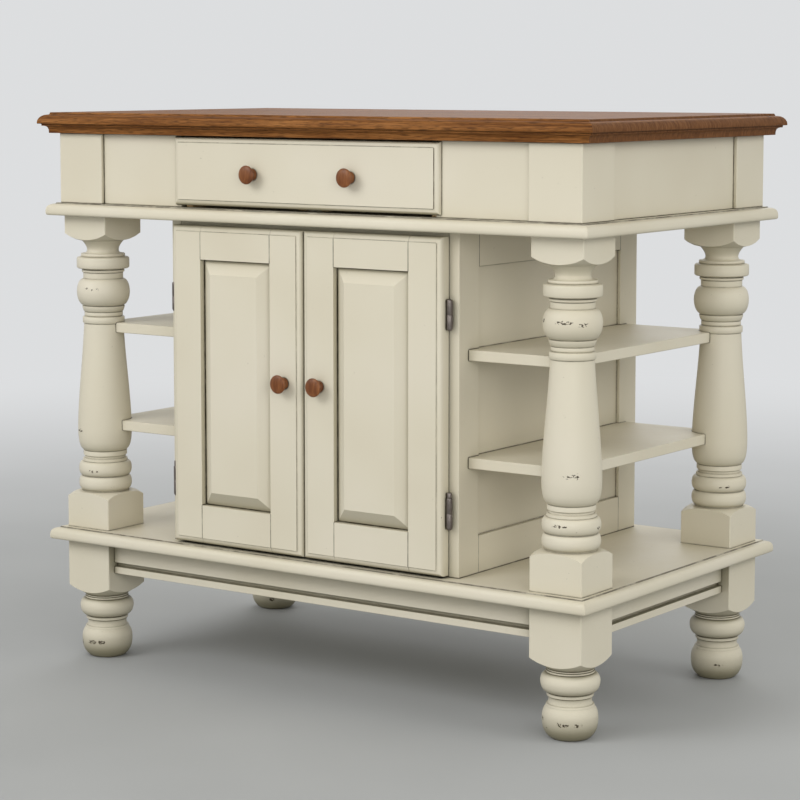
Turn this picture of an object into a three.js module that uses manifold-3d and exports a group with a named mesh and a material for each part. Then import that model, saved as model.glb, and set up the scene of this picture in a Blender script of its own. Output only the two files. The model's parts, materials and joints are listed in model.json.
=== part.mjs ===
// Kitchen island unit with turned corner posts, two panelled doors, one lipped drawer
// and open shelves at both ends. Millimetres, +Z up, front facing -Y, origin on the
// floor under the middle of the worktop.
import * as THREE from "three";
import { mergeVertices } from "three/addons/utils/BufferGeometryUtils.js";
import Module from "manifold-3d";

const wasm = await Module();
wasm.setup();

// ---------------------------------------------------------------- driving sizes
const WIDTH = 1066.8; // 42 in over the worktop nose
const DEPTH = 609.6; // 24 in over the worktop nose
const HEIGHT = 914.4; // 36 in to the worktop face
const FIT = 0.2; // air left in a glued or screwed joint
const SEAT = 0.3; // air round a piece let into its neighbour
const PAST = 5; // how far a cutter runs past what it cuts

// Worktop: thumbnail nose over a small step and a cove
const WORKTOP_THICK = 34.1;
const TOP_UNDER = HEIGHT - WORKTOP_THICK;

// Moulded boards: mid board under the apron box, base shelf over the feet
const BOARD_IN = { x: 10.7, y: 6.8 }; // from the worktop nose to the board nose
const BOARD_X = WIDTH / 2 - BOARD_IN.x; // half width over the nose
const BOARD_Y = DEPTH / 2 - BOARD_IN.y; // half depth over the nose
const BOARD_THICK = 20.5;
const APRON_HIGH = 115;
const MID_TOP = TOP_UNDER - APRON_HIGH;
const BASE_TOP = 221.5;
const MID_UNDER = MID_TOP - BOARD_THICK;
const BASE_UNDER = BASE_TOP - BOARD_THICK;

// Posts and feet share one square section and one set of axes
const POST_IN = { x: 65.1, y: 68.3 }; // from the board nose to the axis
const POST_X = BOARD_X - POST_IN.x;
const POST_Y = BOARD_Y - POST_IN.y;
const SQUARE = 89.7;
const ARRIS = 1.2; // eased edge of squared timber
const TURN_SEGMENTS = 16;

// Apron box between mid board and worktop
const BLOCK_IN = { x: 19.2, y: 16.4 }; // from the board nose to the corner blocks
const BLOCK_X = BOARD_X - BLOCK_IN.x;
const BLOCK_Y = BOARD_Y - BLOCK_IN.y;
const BLOCK = 91.5;
const APRON_SETBACK = 6.6;
const APRON_THICK = 19;

// Cabinet between base shelf and mid board
const BAY = 178.5; // from a cabinet side to the post axis
const CABINET_X = POST_X - BAY;
const CABINET_IN = { front: 37.5, back: 30 }; // from the board nose
const CABINET_FRONT = CABINET_IN.front - BOARD_Y;
const CABINET_BACK = BOARD_Y - CABINET_IN.back;
const CASE_THICK = 19;
const FRAME_STILE = 37.9; // face frame stile and rails
const FRAME_SILL = 21.5;
const FRAME_HEAD = 38.8;
const PANEL_RECESS = 6; // flat sunk panels of the sides and the back
const PANEL_MARGIN = 53.4;
const PANEL_LOW = BASE_TOP + 57.5;
const PANEL_HIGH = MID_UNDER - 54.8;
const SHELF_THICK = 16.5;
const INNER_SHELF_Z = (BASE_TOP + MID_UNDER) / 2 - 13.15;
const DADO = 6;

// Open shelves let into the posts
const SHELF_END = POST_X - 2.3;
const SHELF_Y = POST_Y + 6.6;
const SHELF_LEVELS = { upper: MID_UNDER - 195.3, lower: BASE_TOP + 164.5 };

// Doors (the right one; the left one is its mirror image)
const FRONT_PLANE = CABINET_FRONT - 23.5; // face of the doors and of the drawer front
const DOOR_MEET = 1.5; // meeting edge from the centre line
const DOOR_OUTER = CABINET_X - 17.1;
const DOOR_LOW = BASE_TOP + 3.3;
const DOOR_HIGH = MID_UNDER - 7.6;
const DOOR_THICK = 21;
const STILE_OUTER = 59.9;
const STILE_INNER = 60.6;
const RAIL_TOP = 53.5;
const RAIL_BOTTOM = 63;
const DOOR_GROOVE = 10; // depth of the groove round the opening
const DOOR_GROOVE_WIDE = 6;
const DOOR_GROOVE_Y = FRONT_PLANE + 14.1;
const TONGUE = 9;
const TONGUE_THICK = 5.6;
const BEVEL = 23; // width of the panel's raised bevel
const FIELD_Y = FRONT_PLANE - 4; // the raised field stands proud of the frame

// Drawer
const DRAWER_HALF = DOOR_OUTER - 5.2; // half width of the lipped front
const DRAWER_OPENING = DRAWER_HALF - 9.8; // half width between the front aprons
const DRAWER_LOW = MID_TOP + 4;
const DRAWER_HIGH = TOP_UNDER - 2;
const DRAWER_LIP = 8.5;
const DRAWER_FRONT_THICK = 19;
const DRAWER_SIDE = 12.7;
const DRAWER_BOX_HALF = DRAWER_OPENING - 2;
const DRAWER_BOX_LOW = MID_TOP + SEAT;
const DRAWER_BOX_HIGH = TOP_UNDER - 24.3;
const DRAWER_BACK_Y = BOARD_Y - 113;
const DRAWER_BOTTOM_LOW = MID_TOP + 10.7;
const DRAWER_BOTTOM_THICK = 6;
const DRAWER_GROOVE = 6;

// Centre guide on the mid board and the channel that rides on it
const GUIDE_HALF = 15;
const GUIDE_HIGH = 8.5;
const GUIDE_PLAY = 0.6;
const GUIDE_FRONT = 50 - BOARD_Y;
const GUIDE_BACK = BOARD_Y - 60;
const CLEAT = 14;

// Turned wooden knobs
const KNOB_DOWEL_R = 4;
const KNOB_DOWEL = 13.4;
const KNOB_HOLE = 14;
const KNOB_SEGMENTS = 12;
const DOOR_KNOB = { x: DOOR_MEET + 32.9, z: (DOOR_LOW + DOOR_HIGH) / 2 + 16.3 };
const DRAWER_KNOB = { x: 94.7, z: (DRAWER_LOW + DRAWER_HIGH) / 2 - 2.5 };

// Butt hinges
const HINGE_X = DOOR_OUTER + 5.5;
const HINGE_Y = FRONT_PLANE + 15;
const BARREL_R = 4.7;
const BARREL_SEGMENTS = 10;
const LEAF_THICK = 1.2;
const LEAF_REACH = DOOR_OUTER - 15; // inner edge of both leaves
const HINGES = {
  upper: {
    low: DOOR_HIGH - 140.6,
    seam: DOOR_HIGH - 116.7,
    high: DOOR_HIGH - 93.7,
    pin: 0, // no pin above the barrel
  },
  lower: {
    low: DOOR_LOW + 70.5,
    seam: DOOR_LOW + 95.6,
    high: DOOR_LOW + 119.7,
    pin: 8.1,
  },
};

// Base rails between the feet
const RAIL_SETBACK = 14;
const RAIL_THICK = 19;
const RAIL_LOW = BASE_TOP - 73.1;
const RAIL_GROOVE = { low: BASE_TOP - 61.7, high: BASE_TOP - 54.6, deep: 7.5 };

// ------------------------------------------------------------ profiles (z, radius)
const BLOCK_R = 70; // wider than the square's corners, so the square cuts it
const above = (level, points) => points.map(([up, r]) => [level + up, r]);
const below = (level, points) => points.map(([down, r]) => [level - down, r]);

// The long vase of a post, from its widest ring to its neck
const VASE_LOW = BASE_TOP + 162.5;
const VASE_HIGH = MID_UNDER - 181.2;
const vase = (share, r) => [VASE_LOW + (VASE_HIGH - VASE_LOW) * share, r];
const POST_TURNING = [
  // lower block with domed shoulders
  ...above(BASE_TOP, [
    [FIT, 0],
    [FIT, BLOCK_R],
    [46.1, BLOCK_R],
    [50.9, 63.4],
    [56.4, 54.5],
    [59.7, 45],
    [60.4, 38],
  ]),
  // two tori, a fillet and a bead
  ...above(BASE_TOP, [
    [62.7, 38.2],
    [66.3, 42.5],
    [75.4, 44],
    [83.9, 42.4],
    [86.3, 38.4],
    [88.9, 42.4],
    [97.8, 44],
    [107.2, 42.4],
    [110.3, 37.2],
    [115.1, 37],
    [115.8, 33.7],
    [119.4, 33.7],
    [120.5, 36.2],
    [127.9, 36.2],
    [128.7, 34.9],
    [130.2, 37.8],
    [143.5, 43.2],
  ]),
  vase(0, 44.7),
  vase(0.36, 41.7),
  vase(0.706, 36.3),
  vase(1, 32.6),
  // three bands under the ball
  ...below(MID_UNDER, [
    [179.9, 34.6],
    [170.4, 34.6],
    [169.2, 31.8],
    [162.2, 31.8],
    [161, 32.9],
    [152.8, 35.4],
    [151.4, 34.2],
  ]),
  // ball, neck with a thin ring, square-edged band and a small ring
  ...below(MID_UNDER, [
    [147.6, 38.2],
    [140.9, 41.9],
    [131.5, 43.8],
    [122, 43.6],
    [113.4, 41.2],
    [107.6, 36.8],
    [106.4, 33.1],
    [96.6, 33.1],
    [95.6, 35.2],
    [91.8, 35.2],
    [90.8, 33.6],
    [89.6, 40.9],
    [87.4, 43.4],
    [72.4, 43.4],
    [70.5, 40.9],
    [70, 36.4],
    [64.7, 36.4],
    [63.7, 27.2],
    [58.6, 26],
    [51.9, 27.9],
  ]),
  // upper block with domed shoulders
  ...below(MID_UNDER, [
    [43, 34.4],
    [40.6, 44.9],
    [36.2, 54.4],
    [30.1, 63.4],
    [23.6, BLOCK_R],
    [FIT, BLOCK_R],
    [FIT, 0],
  ]),
];
const FOOT_TURNING = [
  // ball with a fillet
  [0, 0],
  [0, 28.8],
  [8.5, 37.2],
  [25, 42],
  [36, 42],
  [43.6, 39.8],
  [48.2, 36.4],
  [51.6, 35.7],
  // cove, ring and torus
  [52.6, 33.6],
  [57.4, 32.2],
  [62.4, 33],
  [63.4, 34.9],
  [68.2, 34.9],
  [69.2, 33.6],
  [72, 39.6],
  [80.4, 44.2],
  [87.4, 44.7],
  [94, 42.6],
  [98.6, 37.8],
  [99.8, 34.8],
  // block with domed shoulders
  ...below(BASE_UNDER, [
    [95.4, 34.7],
    [89, 44.9],
    [84.2, 54.6],
    [78.6, 63.4],
    [72.7, BLOCK_R],
    [FIT, BLOCK_R],
    [FIT, 0],
  ]),
];
const KNOB_TURNING = [
  [-KNOB_DOWEL, 0],
  [-KNOB_DOWEL, KNOB_DOWEL_R],
  [FIT, KNOB_DOWEL_R],
  [FIT, 9.1],
  [1.5, 9.3],
  [3.6, 8.2],
  [7, 7.7],
  [11.4, 11.8],
  [14.2, 14.2],
  [16, 14.7],
  [18, 12.8],
  [19.4, 7.6],
  [19.9, 0],
];

// Board edges as (inset from the nose, height), from the upper face down
const quarter = (count, at) =>
  Array.from({ length: count + 1 }, (_, i) => at((i * Math.PI) / (2 * count)));
const worktopLevel = (share) => HEIGHT - WORKTOP_THICK * share;
const WORKTOP_EDGE = [
  [15.8, worktopLevel(0)],
  [14.6, worktopLevel(0.106)],
  ...quarter(5, (a) => [12.4 * (1 - Math.sin(a)), worktopLevel(0.504 - 0.393 * Math.cos(a))]),
  [0.4, worktopLevel(0.551)],
  [5.5, worktopLevel(0.557)],
  [5.5, worktopLevel(0.651)],
  ...quarter(4, (a) => [9 + 5 * Math.sin(a), worktopLevel(0.915 - 0.258 * Math.cos(a))]),
  [14, worktopLevel(1)],
];
// A small quirk, a long thumbnail round and an eased underside, as shares of the thickness
const boardEdge = (top) =>
  [
    [12.5, 0],
    [12.5, 0.07],
    [9.2, 0.095],
    [6, 0.142],
    [3.3, 0.22],
    [1.5, 0.325],
    [0.5, 0.46],
    [0, 0.64],
    [0, 0.86],
    [0.9, 0.953],
    [2.4, 1],
  ].map(([inset, share]) => [inset, top - BOARD_THICK * share]);

// Edge of the doors and of the drawer front as (inset, distance behind the face)
const LIP_EDGE = [
  [9.4, 0],
  [9.4, 1.4],
  ...quarter(3, (a) => [8.2 * (1 - Math.sin(a)), 8.2 - 6.6 * Math.cos(a)]),
];

// -------------------------------------------------------------------- materials
const paint = (name) =>
  new THREE.MeshStandardMaterial({ name, color: 0xdad2bf, roughness: 0.55 });
const oak = (name) =>
  new THREE.MeshStandardMaterial({ name, color: 0x8a5a33, roughness: 0.45 });
const knobWood = (name) =>
  new THREE.MeshStandardMaterial({ name, color: 0x85512d, roughness: 0.4 });
const bareWood = (name) =>
  new THREE.MeshStandardMaterial({ name, color: 0xcbb48c, roughness: 0.7 });
const pewter = (name) =>
  new THREE.MeshStandardMaterial({
    name,
    color: 0x77706e,
    metalness: 0.8,
    roughness: 0.4,
  });

// --------------------------------------------------------------- geometry helpers
const bare = (geometry) => {
  const copy = geometry.index ? geometry.toNonIndexed() : geometry.clone();
  copy.deleteAttribute("normal");
  copy.deleteAttribute("uv");
  return mergeVertices(copy, 1e-3);
};

const toSolid = (geometry) => {
  const merged = bare(geometry);
  const solid = new wasm.Manifold(
    new wasm.Mesh({
      numProp: 3,
      vertProperties: merged.attributes.position.array,
      triVerts: new Uint32Array(merged.index.array),
    }),
  );
  return solid;
};

const toGeometry = (solid) => {
  const mesh = solid.getMesh();
  const geometry = new THREE.BufferGeometry();
  geometry.setAttribute(
    "position",
    new THREE.BufferAttribute(new Float32Array(mesh.vertProperties), 3),
  );
  geometry.setIndex(new THREE.BufferAttribute(new Uint32Array(mesh.triVerts), 1));
  return geometry;
};

const subtract = (geometry, ...cutters) =>
  toGeometry(
    cutters.reduce((left, cutter) => left.subtract(toSolid(cutter)), toSolid(geometry)),
  );
const intersect = (geometry, other) =>
  toGeometry(toSolid(geometry).intersect(toSolid(other)));
const join = (geometry, ...others) =>
  toGeometry(others.reduce((all, other) => all.add(toSolid(other)), toSolid(geometry)));

// A block between two corners
const block = ([x0, x1], [y0, y1], [z0, z1]) =>
  new THREE.BoxGeometry(x1 - x0, y1 - y0, z1 - z0).translate(
    (x0 + x1) / 2,
    (y0 + y1) / 2,
    (z0 + z1) / 2,
  );

// A closed outline [[a, b], ...] pushed from one level to another along an axis
const extrude = (outline, axis, from, to) => {
  const shape = new THREE.Shape(outline.map(([a, b]) => new THREE.Vector2(a, b)));
  const geometry = new THREE.ExtrudeGeometry(shape, {
    depth: to - from,
    bevelEnabled: false,
  }).translate(0, 0, from);
  const turn = {
    z: () => geometry,
    // outline in (y, z), pushed along x
    x: () => geometry.rotateX(Math.PI / 2).rotateZ(Math.PI / 2),
    // outline in (x, z), pushed along y: z is mirrored first so that it ends upright
    y: () => geometry.translate(0, 0, -from - to).rotateX(Math.PI / 2),
  };
  return turn[axis]();
};

// Rectangular rings joined into one closed body, each ring {x: [a, b], y: [c, d], at}
const ringStack = (rings, place) => {
  const positions = rings.flatMap(({ x, y, at }) => [
    ...place(x[0], y[0], at),
    ...place(x[1], y[0], at),
    ...place(x[1], y[1], at),
    ...place(x[0], y[1], at),
  ]);
  const index = [0, 2, 1, 0, 3, 2];
  for (let ring = 0; ring < rings.length - 1; ring += 1) {
    for (let side = 0; side < 4; side += 1) {
      const a = ring * 4 + side;
      const b = ring * 4 + ((side + 1) % 4);
      index.push(a, b, b + 4, a, b + 4, a + 4);
    }
  }
  const last = (rings.length - 1) * 4;
  index.push(last, last + 1, last + 2, last, last + 2, last + 3);
  const geometry = new THREE.BufferGeometry();
  geometry.setAttribute("position", new THREE.Float32BufferAttribute(positions, 3));
  geometry.setIndex(index);
  return geometry;
};

// A board with mitred moulded edges, its edge listed from the upper face down
const mouldedBoard = (halfX, halfY, edge) =>
  ringStack(
    [...edge].reverse().map(([inset, z]) => ({
      x: [inset - halfX, halfX - inset],
      y: [inset - halfY, halfY - inset],
      at: z,
    })),
    (x, y, z) => [x, y, z],
  );

// An upright board facing -Y, its edge listed from the face back
const mouldedFront = (x, z, back, face, edge) =>
  ringStack(
    [[0, back - face], ...[...edge].reverse()].map(([inset, behind]) => ({
      x: [x[0] + inset, x[1] - inset],
      y: [z[0] + inset, z[1] - inset],
      at: behind,
    })),
    (across, up, behind) => [across, face + behind, up],
  );

// A turned piece standing on the Z axis
const turned = (profile, segments) =>
  new THREE.LatheGeometry(
    profile.map(([z, r]) => new THREE.Vector2(r, z)),
    segments,
  ).rotateX(Math.PI / 2);

// A square with eased corners
const easedSquare = (half, arris) => [
  [half, half - arris],
  [half - arris, half],
  [arris - half, half],
  [-half, half - arris],
  [-half, arris - half],
  [arris - half, -half],
  [half - arris, -half],
  [half, arris - half],
];

const mirrorX = (geometry) => {
  const copy = bare(geometry);
  copy.scale(-1, 1, 1);
  const order = copy.index.array;
  for (let i = 0; i < order.length; i += 3) {
    [order[i + 1], order[i + 2]] = [order[i + 2], order[i + 1]];
  }
  return copy;
};

const at = (geometry, x, y, z) => geometry.clone().translate(x, y, z);

// -------------------------------------------------------------------- assembly
const island = new THREE.Group();
island.name = "kitchen_island";
const group = (name) => {
  const made = new THREE.Group();
  made.name = name;
  island.add(made);
  return made;
};
const carcass = group("carcass");
const drawer = group("drawer");
const doors = { left: group("door_left"), right: group("door_right") };

const piece = (parent, name, material, geometry) => {
  const shown = geometry.index ? geometry.toNonIndexed() : geometry;
  shown.deleteAttribute("normal");
  shown.computeVertexNormals();
  const mesh = new THREE.Mesh(shown, material(name));
  mesh.name = name;
  parent.add(mesh);
};

const CORNERS = [
  ["front_left", -1, -1],
  ["front_right", 1, -1],
  ["back_left", -1, 1],
  ["back_right", 1, 1],
];
const SIDES = [
  ["left", -1],
  ["right", 1],
];

// Boards
piece(carcass, "worktop", oak, mouldedBoard(WIDTH / 2, DEPTH / 2, WORKTOP_EDGE));
piece(carcass, "base_shelf", paint, mouldedBoard(BOARD_X, BOARD_Y, boardEdge(BASE_TOP)));
piece(
  carcass,
  "mid_board",
  paint,
  join(
    mouldedBoard(BOARD_X, BOARD_Y, boardEdge(MID_TOP)),
    block(
      [-GUIDE_HALF, GUIDE_HALF],
      [GUIDE_FRONT, GUIDE_BACK],
      [MID_UNDER + PAST, MID_TOP + GUIDE_HIGH],
    ),
  ),
);

// Posts, feet and corner blocks
const prism = extrude(easedSquare(SQUARE / 2, ARRIS), "z", -PAST, HEIGHT);
const postBlank = intersect(turned(POST_TURNING, TURN_SEGMENTS), prism);
const footBlank = intersect(turned(FOOT_TURNING, TURN_SEGMENTS), prism);
const cornerBlank = extrude(
  easedSquare(BLOCK / 2, ARRIS),
  "z",
  MID_TOP + FIT,
  TOP_UNDER - FIT,
);

// Room for the corner of an open shelf, cut into a post from the inside
const shelfNotch = (sx, sy, z) => {
  const x = [(SHELF_END + SEAT - POST_X) * sx, -SQUARE * sx];
  const y = [(SHELF_Y + SEAT - POST_Y) * sy, -SQUARE * sy];
  const ascending = (a, b) => a - b;
  return block(x.sort(ascending), y.sort(ascending), [
    z - SEAT,
    z + SHELF_THICK + SEAT,
  ]);
};

for (const [corner, sx, sy] of CORNERS) {
  const notched = subtract(
    postBlank,
    ...Object.values(SHELF_LEVELS).map((z) => shelfNotch(sx, sy, z)),
  );
  piece(carcass, "post_" + corner, paint, at(notched, POST_X * sx, POST_Y * sy, 0));
  piece(carcass, "foot_" + corner, paint, at(footBlank, POST_X * sx, POST_Y * sy, 0));
  piece(
    carcass,
    "corner_block_" + corner,
    paint,
    at(cornerBlank, (BLOCK_X - BLOCK / 2) * sx, (BLOCK_Y - BLOCK / 2) * sy, 0),
  );
}

// Aprons
const APRON_Z = [MID_TOP + FIT, TOP_UNDER - FIT];
const apronX = BLOCK_X - BLOCK - FIT; // ends against the corner blocks
const apronY = BLOCK_Y - BLOCK - FIT;
const apronFace = BLOCK_Y - APRON_SETBACK;
const apronSideFace = BLOCK_X - APRON_SETBACK;
piece(
  carcass,
  "apron_back",
  paint,
  block([-apronX, apronX], [apronFace - APRON_THICK, apronFace], APRON_Z),
);
for (const [side, s] of SIDES) {
  const end = block(
    [apronSideFace - APRON_THICK, apronSideFace],
    [-apronY, apronY],
    APRON_Z,
  );
  const front = block(
    [DRAWER_OPENING, apronX],
    [-apronFace, APRON_THICK - apronFace],
    APRON_Z,
  );
  piece(carcass, "apron_" + side, paint, s > 0 ? end : mirrorX(end));
  piece(carcass, "apron_front_" + side, paint, s > 0 ? front : mirrorX(front));
}

// Base rails, routed along the outer face; profile in (distance in from the face, z)
const railProfile = [
  [0, RAIL_LOW],
  [0, RAIL_GROOVE.low],
  [RAIL_GROOVE.deep, RAIL_GROOVE.low],
  [RAIL_GROOVE.deep, RAIL_GROOVE.high],
  [0, RAIL_GROOVE.high],
  [0, BASE_UNDER - FIT],
  [RAIL_THICK, BASE_UNDER - FIT],
  [RAIL_THICK, RAIL_LOW],
];
const railFaceX = POST_X + SQUARE / 2 - RAIL_SETBACK;
const railFaceY = POST_Y + SQUARE / 2 - RAIL_SETBACK;
const railEndX = POST_X - SQUARE / 2 - FIT;
const railEndY = POST_Y - SQUARE / 2 - FIT;
const endRail = extrude(
  railProfile.map(([inward, z]) => [railFaceX - inward, z]).reverse(),
  "y",
  -railEndY,
  railEndY,
);
piece(carcass, "base_rail_right", paint, endRail);
piece(carcass, "base_rail_left", paint, mirrorX(endRail));
piece(
  carcass,
  "base_rail_back",
  paint,
  extrude(
    railProfile.map(([inward, z]) => [railFaceY - inward, z]).reverse(),
    "x",
    -railEndX,
    railEndX,
  ),
);
piece(
  carcass,
  "base_rail_front",
  paint,
  extrude(
    railProfile.map(([inward, z]) => [inward - railFaceY, z]),
    "x",
    -railEndX,
    railEndX,
  ),
);

// Cabinet: sides with a sunk panel outside and a stopped dado inside
const CASE_Z = [BASE_TOP + FIT, MID_UNDER - FIT];
const caseInner = CABINET_X - CASE_THICK;
const innerShelfY = [
  CABINET_FRONT + CASE_THICK + 2,
  CABINET_BACK - CASE_THICK - 4,
];
const sunkY = [CABINET_FRONT + PANEL_MARGIN, CABINET_BACK - PANEL_MARGIN];
const caseSide = subtract(
  block([caseInner, CABINET_X], [CABINET_FRONT, CABINET_BACK], CASE_Z),
  block([CABINET_X - PANEL_RECESS, CABINET_X + PAST], sunkY, [PANEL_LOW, PANEL_HIGH]),
  block(
    [caseInner - PAST, caseInner + DADO],
    [innerShelfY[0] - SEAT, innerShelfY[1] + SEAT],
    [INNER_SHELF_Z - FIT, INNER_SHELF_Z + SHELF_THICK + FIT],
  ),
);
piece(carcass, "cabinet_side_right", paint, caseSide);
piece(carcass, "cabinet_side_left", paint, mirrorX(caseSide));

const betweenSides = caseInner - FIT;
piece(
  carcass,
  "cabinet_back",
  paint,
  subtract(
    block(
      [-betweenSides, betweenSides],
      [CABINET_BACK - CASE_THICK, CABINET_BACK],
      CASE_Z,
    ),
    block(
      [PANEL_MARGIN - betweenSides, betweenSides - PANEL_MARGIN],
      [CABINET_BACK - PANEL_RECESS, CABINET_BACK + PAST],
      [PANEL_LOW, PANEL_HIGH],
    ),
  ),
);
piece(
  carcass,
  "face_frame",
  paint,
  subtract(
    block(
      [-betweenSides, betweenSides],
      [CABINET_FRONT, CABINET_FRONT + CASE_THICK],
      CASE_Z,
    ),
    block(
      [FRAME_STILE - betweenSides, betweenSides - FRAME_STILE],
      [CABINET_FRONT - PAST, CABINET_FRONT + CASE_THICK + PAST],
      [BASE_TOP + FRAME_SILL, MID_UNDER - FRAME_HEAD],
    ),
  ),
);
piece(
  carcass,
  "inner_shelf",
  bareWood,
  block(
    [-(caseInner + DADO - FIT), caseInner + DADO - FIT],
    innerShelfY,
    [INNER_SHELF_Z, INNER_SHELF_Z + SHELF_THICK],
  ),
);

// Open shelves: the middle reaches into the cabinet side's sunk panel
const shelfOutline = [
  [CABINET_X + FIT, -SHELF_Y],
  [SHELF_END, -SHELF_Y],
  [SHELF_END, SHELF_Y],
  [CABINET_X + FIT, SHELF_Y],
  [CABINET_X + FIT, sunkY[1] - SEAT],
  [CABINET_X - PANEL_RECESS + FIT, sunkY[1] - SEAT],
  [CABINET_X - PANEL_RECESS + FIT, sunkY[0] + SEAT],
  [CABINET_X + FIT, sunkY[0] + SEAT],
];
for (const [level, z] of Object.entries(SHELF_LEVELS)) {
  const shelf = extrude(shelfOutline, "z", z, z + SHELF_THICK);
  piece(carcass, "shelf_" + level + "_right", paint, shelf);
  piece(carcass, "shelf_" + level + "_left", paint, mirrorX(shelf));
}

// Knob, turned on the Z axis and then laid over to face -Y
const knob = turned(KNOB_TURNING, KNOB_SEGMENTS).rotateX(Math.PI / 2);
const knobHole = (x, z) => {
  const r = KNOB_DOWEL_R + FIT;
  const hole = new THREE.CylinderGeometry(r, r, KNOB_HOLE * 2, KNOB_SEGMENTS);
  return hole.translate(x, FRONT_PLANE, z);
};

// Drawer: lipped front, sides in grooves, bottom slid in under the back
const lipBack = FRONT_PLANE + DRAWER_LIP;
const frontBack = FRONT_PLANE + DRAWER_FRONT_THICK;
const grooveBottom = frontBack - DRAWER_GROOVE;
const boxInner = DRAWER_BOX_HALF - DRAWER_SIDE;
const bottomZ = [DRAWER_BOTTOM_LOW, DRAWER_BOTTOM_LOW + DRAWER_BOTTOM_THICK];
const bottomGrooveZ = [bottomZ[0] - FIT, bottomZ[1] + FIT];
const drawerFront = join(
  mouldedFront(
    [-DRAWER_HALF, DRAWER_HALF],
    [DRAWER_LOW, DRAWER_HIGH],
    lipBack,
    FRONT_PLANE,
    LIP_EDGE,
  ),
  block(
    [-DRAWER_BOX_HALF - SEAT, DRAWER_BOX_HALF + SEAT],
    [lipBack - FIT, frontBack],
    [DRAWER_LOW, DRAWER_HIGH],
  ),
);
piece(
  drawer,
  "drawer_front",
  paint,
  subtract(
    drawerFront,
    ...SIDES.map(([, s]) =>
      at(
        block(
          [-DRAWER_SIDE / 2 - FIT, DRAWER_SIDE / 2 + FIT],
          [grooveBottom, frontBack + PAST],
          [DRAWER_LOW - PAST, DRAWER_BOX_HIGH + FIT],
        ),
        (DRAWER_BOX_HALF - DRAWER_SIDE / 2) * s,
        0,
        0,
      ),
    ),
    block([-boxInner, boxInner], [grooveBottom, frontBack + PAST], bottomGrooveZ),
    knobHole(DRAWER_KNOB.x, DRAWER_KNOB.z),
    knobHole(-DRAWER_KNOB.x, DRAWER_KNOB.z),
  ),
);
const drawerSide = subtract(
  join(
    block(
      [boxInner, DRAWER_BOX_HALF],
      [frontBack + FIT, DRAWER_BACK_Y],
      [DRAWER_BOX_LOW, DRAWER_BOX_HIGH],
    ),
    block(
      [boxInner, DRAWER_BOX_HALF],
      [grooveBottom + FIT, frontBack + PAST],
      [DRAWER_LOW + FIT, DRAWER_BOX_HIGH],
    ),
  ),
  block(
    [boxInner - PAST, boxInner + DRAWER_GROOVE],
    [grooveBottom - PAST, DRAWER_BACK_Y + PAST],
    bottomGrooveZ,
  ),
);
piece(drawer, "drawer_side_right", bareWood, drawerSide);
piece(drawer, "drawer_side_left", bareWood, mirrorX(drawerSide));
piece(
  drawer,
  "drawer_back",
  bareWood,
  block(
    [FIT - boxInner, boxInner - FIT],
    [DRAWER_BACK_Y - DRAWER_SIDE, DRAWER_BACK_Y],
    [bottomZ[1] + FIT, DRAWER_BOX_HIGH],
  ),
);
const channel = (s) =>
  at(
    block(
      [-CLEAT / 2, CLEAT / 2],
      [frontBack + CLEAT, DRAWER_BACK_Y],
      [DRAWER_BOX_LOW + GUIDE_PLAY, bottomZ[1] - FIT],
    ),
    (GUIDE_HALF + GUIDE_PLAY + CLEAT / 2) * s,
    0,
    0,
  );
const bottomHalf = boxInner + DRAWER_GROOVE - FIT;
const frontTongue = boxInner - FIT;
piece(
  drawer,
  "drawer_bottom",
  bareWood,
  join(
    block([-bottomHalf, bottomHalf], [frontBack + FIT, DRAWER_BACK_Y], bottomZ),
    block([-frontTongue, frontTongue], [grooveBottom + FIT, frontBack + PAST], bottomZ),
    channel(-1),
    channel(1),
  ),
);
for (const [side, s] of SIDES) {
  piece(
    drawer,
    "drawer_knob_" + side,
    knobWood,
    at(knob, DRAWER_KNOB.x * s, FRONT_PLANE, DRAWER_KNOB.z),
  );
}

// Doors: stiles and rails cut out of one moulded blank, grooved for the raised panel
const doorBack = FRONT_PLANE + DOOR_THICK;
const openX = [DOOR_MEET + STILE_INNER, DOOR_OUTER - STILE_OUTER];
const openZ = [DOOR_LOW + RAIL_BOTTOM, DOOR_HIGH - RAIL_TOP];
const doorBlank = mouldedFront(
  [DOOR_MEET, DOOR_OUTER],
  [DOOR_LOW, DOOR_HIGH],
  doorBack,
  FRONT_PLANE,
  LIP_EDGE,
);
const grooveY = [
  DOOR_GROOVE_Y - DOOR_GROOVE_WIDE / 2,
  DOOR_GROOVE_Y + DOOR_GROOVE_WIDE / 2,
];
const tongueY = [DOOR_GROOVE_Y - TONGUE_THICK / 2, DOOR_GROOVE_Y + TONGUE_THICK / 2];
const ALL_Y = [FRONT_PLANE - PAST, doorBack + PAST];
const ALL_Z = [DOOR_LOW - PAST, DOOR_HIGH + PAST];
const gain = (hinge) =>
  block(
    [LEAF_REACH - SEAT, DOOR_OUTER + PAST],
    [doorBack - LEAF_THICK - FIT, doorBack + PAST],
    [hinge.low - SEAT, hinge.high + SEAT],
  );
const doorPieces = {
  stile_inner: subtract(
    intersect(doorBlank, block([DOOR_MEET - PAST, openX[0]], ALL_Y, ALL_Z)),
    block([openX[0] - DOOR_GROOVE, openX[0] + PAST], grooveY, ALL_Z),
    knobHole(DOOR_KNOB.x, DOOR_KNOB.z),
  ),
  stile_outer: subtract(
    intersect(doorBlank, block([openX[1], DOOR_OUTER + PAST], ALL_Y, ALL_Z)),
    block([openX[1] - PAST, openX[1] + DOOR_GROOVE], grooveY, ALL_Z),
    ...Object.values(HINGES).map(gain),
  ),
};
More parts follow.
